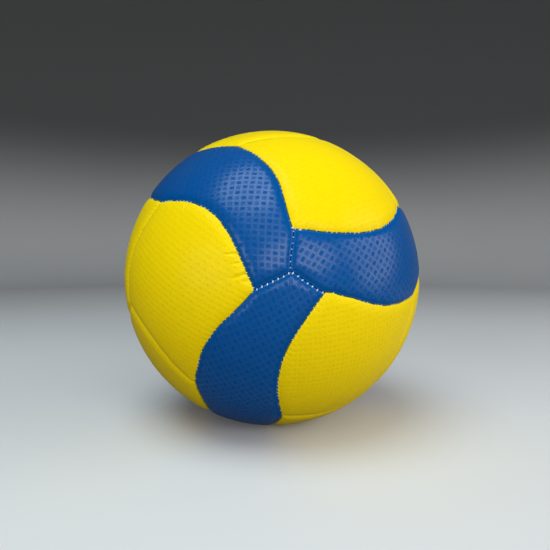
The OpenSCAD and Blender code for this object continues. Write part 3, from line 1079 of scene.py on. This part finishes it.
# %% Material: lining cloth
WEAVE = 7.0  # the threads of the cloth lie pi / 7 mm apart
lining_cloth, b = new_material("lining_cloth")
place = b.stored("sheet_place")["Vector"]
parts = b.split(place)
warp = b.math("SINE", b.math("MULTIPLY", parts[0], WEAVE))
weft = b.math("SINE", b.math("MULTIPLY", parts[1], WEAVE))
over = b.math("MULTIPLY", warp, weft)
glue = b.between(b.noise(place, 0.03, 4.0, 0.6), 0.5, 0.62)
tint = b.blend(b.between(over, -0.8, 0.8), (0.42, 0.36, 0.25, 1), (0.66, 0.60, 0.46, 1))
tint = b.blend(b.math("MULTIPLY", glue, 0.6), tint, (0.48, 0.36, 0.16, 1))
b.surface({"Base Color": tint, "Roughness": b.math("MULTIPLY_ADD", glue, -0.35, 0.9),
           "Normal": b.bump(over, 0.1 * MM)})

# %% Three mixtures of rubber
bladder_rubber = rubber("bladder_rubber", (0.030, 0.030, 0.034, 1), (0.110, 0.108, 0.105, 1),
                        roughness=0.45, scale=40)
valve_rubber = rubber("valve_rubber", (0.018, 0.018, 0.020, 1), (0.050, 0.050, 0.052, 1),
                      roughness=0.4, scale=160)
core_rubber = rubber("core_rubber", (0.045, 0.042, 0.040, 1), (0.090, 0.085, 0.080, 1),
                     roughness=0.5, scale=260)
print("materials so far:", len(bpy.data.materials))

# %% Make the lining and the bladder
# piece, node, slot, material, radius, wall, ridges and their height, in mm
for name, node, slot, material, outer, wall, ridge_at, rise in (
        ("lining_ball", "cloth_lining", "lining", lining_cloth, 100.6, 0.5, gore_seams, 0.12),
        ("bladder_ball", "bladder", "bladder_rubber", bladder_rubber, 99.7, 0.7, mould_line, 0.1)):
    points, faces, place = hollow_ball(outer, wall, ridge_at, rise)
    piece = new_piece(name, points, faces, material, {"sheet_place": place})
    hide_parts(node)
for node, material in (("valve_body", valve_rubber), ("valve_core", core_rubber)):
    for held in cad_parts[node].material_slots:
        held.material = material
print("lining, bladder and valve are in")

# %% [markdown]
# The floor
# The ball stands on a plain floor that curves up into a wall all round, as in a
# photographer's studio, and the wall gets darker with its height. A pale floor would light
# the ball strongly from below. So it is pale only where the camera looks at it, and for
# the light that it throws on the ball it is grey, and brighter on the right.

# %% Material: floor
floor_material, b = new_material("studio_floor")
ground = b.node("ShaderNodeTexCoord").outputs["Object"]
seen = b.node("ShaderNodeLightPath").outputs["Is Camera Ray"]
parts = b.split(ground)
pale = b.blend(b.noise(ground, 2.0, 2.0), (0.72, 0.70, 0.69, 1), (0.78, 0.76, 0.75, 1))
wall = b.blend(b.between(parts[2], -0.02, 0.66), pale, (0.134, 0.13, 0.128, 1))
dim = b.blend(b.between(parts[0], -0.2, 0.3), (0.16, 0.16, 0.163, 1), (0.42, 0.42, 0.43, 1))
b.surface({"Base Color": b.blend(seen, dim, wall), "Roughness": 0.9})

# %% Make the floor
FLAT, SWEEP = 1.5, 0.8  # radius of the flat part and of the curve up to the wall, in metres
AROUND = 64
profile = [(0.4, 0.0), (0.9, 0.0), (FLAT, 0.0)]
profile += [(FLAT + SWEEP * math.sin(a), SWEEP - SWEEP * math.cos(a))
            for a in np.linspace(0.15, math.pi / 2, 9)]
profile.append((FLAT + SWEEP, 2 * SWEEP))
bottom = -BALL_R * MM
points = [(reach * math.cos(angle), reach * math.sin(angle), rise + bottom)
          for reach, rise in profile for angle in 2 * math.pi * np.arange(AROUND) / AROUND]
faces = []
for r in range(len(profile) - 1):
    inner, outer = (list(range(n * AROUND, (n + 1) * AROUND)) for n in (r, r + 1))
    faces += strip(outer, inner)
faces += [(len(points), k, (k + 1) % AROUND) for k in range(AROUND)]
floor_mesh = bpy.data.meshes.new("studio_floor")
floor_mesh.from_pydata([*points, (0, 0, bottom)], [], faces)
floor_mesh.polygons.foreach_set("use_smooth", [True] * len(floor_mesh.polygons))
floor_mesh.materials.append(floor_material)
studio_floor = linked("studio_floor", floor_mesh)
print("floor:", 2 * (FLAT + SWEEP), "m across")

# %% [markdown]
# Lamps and sky
# Five broad lamps light the ball. The key lamp hangs above and to the left and gives the
# soft highlight, the others fill in from the front and from both sides. The sky is bright
# where the camera sees it, and adds only a little light of its own.

# %% Lamps and sky
LAMPS = [
    # name, place, width and height in metres, watts, colour
    ("key_lamp", (-0.31, -0.41, 1.18), 0.9, 0.9, 8.8, (0.81, 1.0, 1.09)),
    ("middle_lamp", (-0.05, -0.95, 0.93), 1.0, 0.8, 2.7, (0.87, 1.0, 1.07)),
    ("front_lamp", (0.30, -1.34, 0.42), 1.5, 0.6, 9.8, (1.0, 1.0, 1.0)),
    ("side_lamp", (1.35, -0.45, 0.45), 1.2, 1.2, 8.5, (1.0, 1.0, 1.0)),
    ("left_lamp", (-1.15, -0.95, 0.15), 1.0, 1.0, 6.6, (1.0, 1.0, 1.0)),
]
for name, place, width, height, watts, colour in LAMPS:
    data = bpy.data.lights.new(name, "AREA")
    data.shape, data.size, data.size_y, data.energy = "ELLIPSE", width, height, watts
    data.color = colour
    aimed(linked(name, data), place)
world = bpy.data.worlds.new("studio_sky")
world.use_nodes = True
b = Bench(world.node_tree)
seen = b.node("ShaderNodeLightPath").outputs["Is Camera Ray"]
sky = world.node_tree.nodes["Background"]
b.feed(sky.inputs["Color"], b.blend(seen, (0.95, 0.97, 1.0, 1), (0.80, 0.81, 0.83, 1)))
b.feed(sky.inputs["Strength"], b.math("MULTIPLY_ADD", seen, 0.90, 0.10))
bpy.context.scene.world = world
print("lamps:", len(LAMPS), "with", round(sum(lamp[4] for lamp in LAMPS), 1), "W in all")
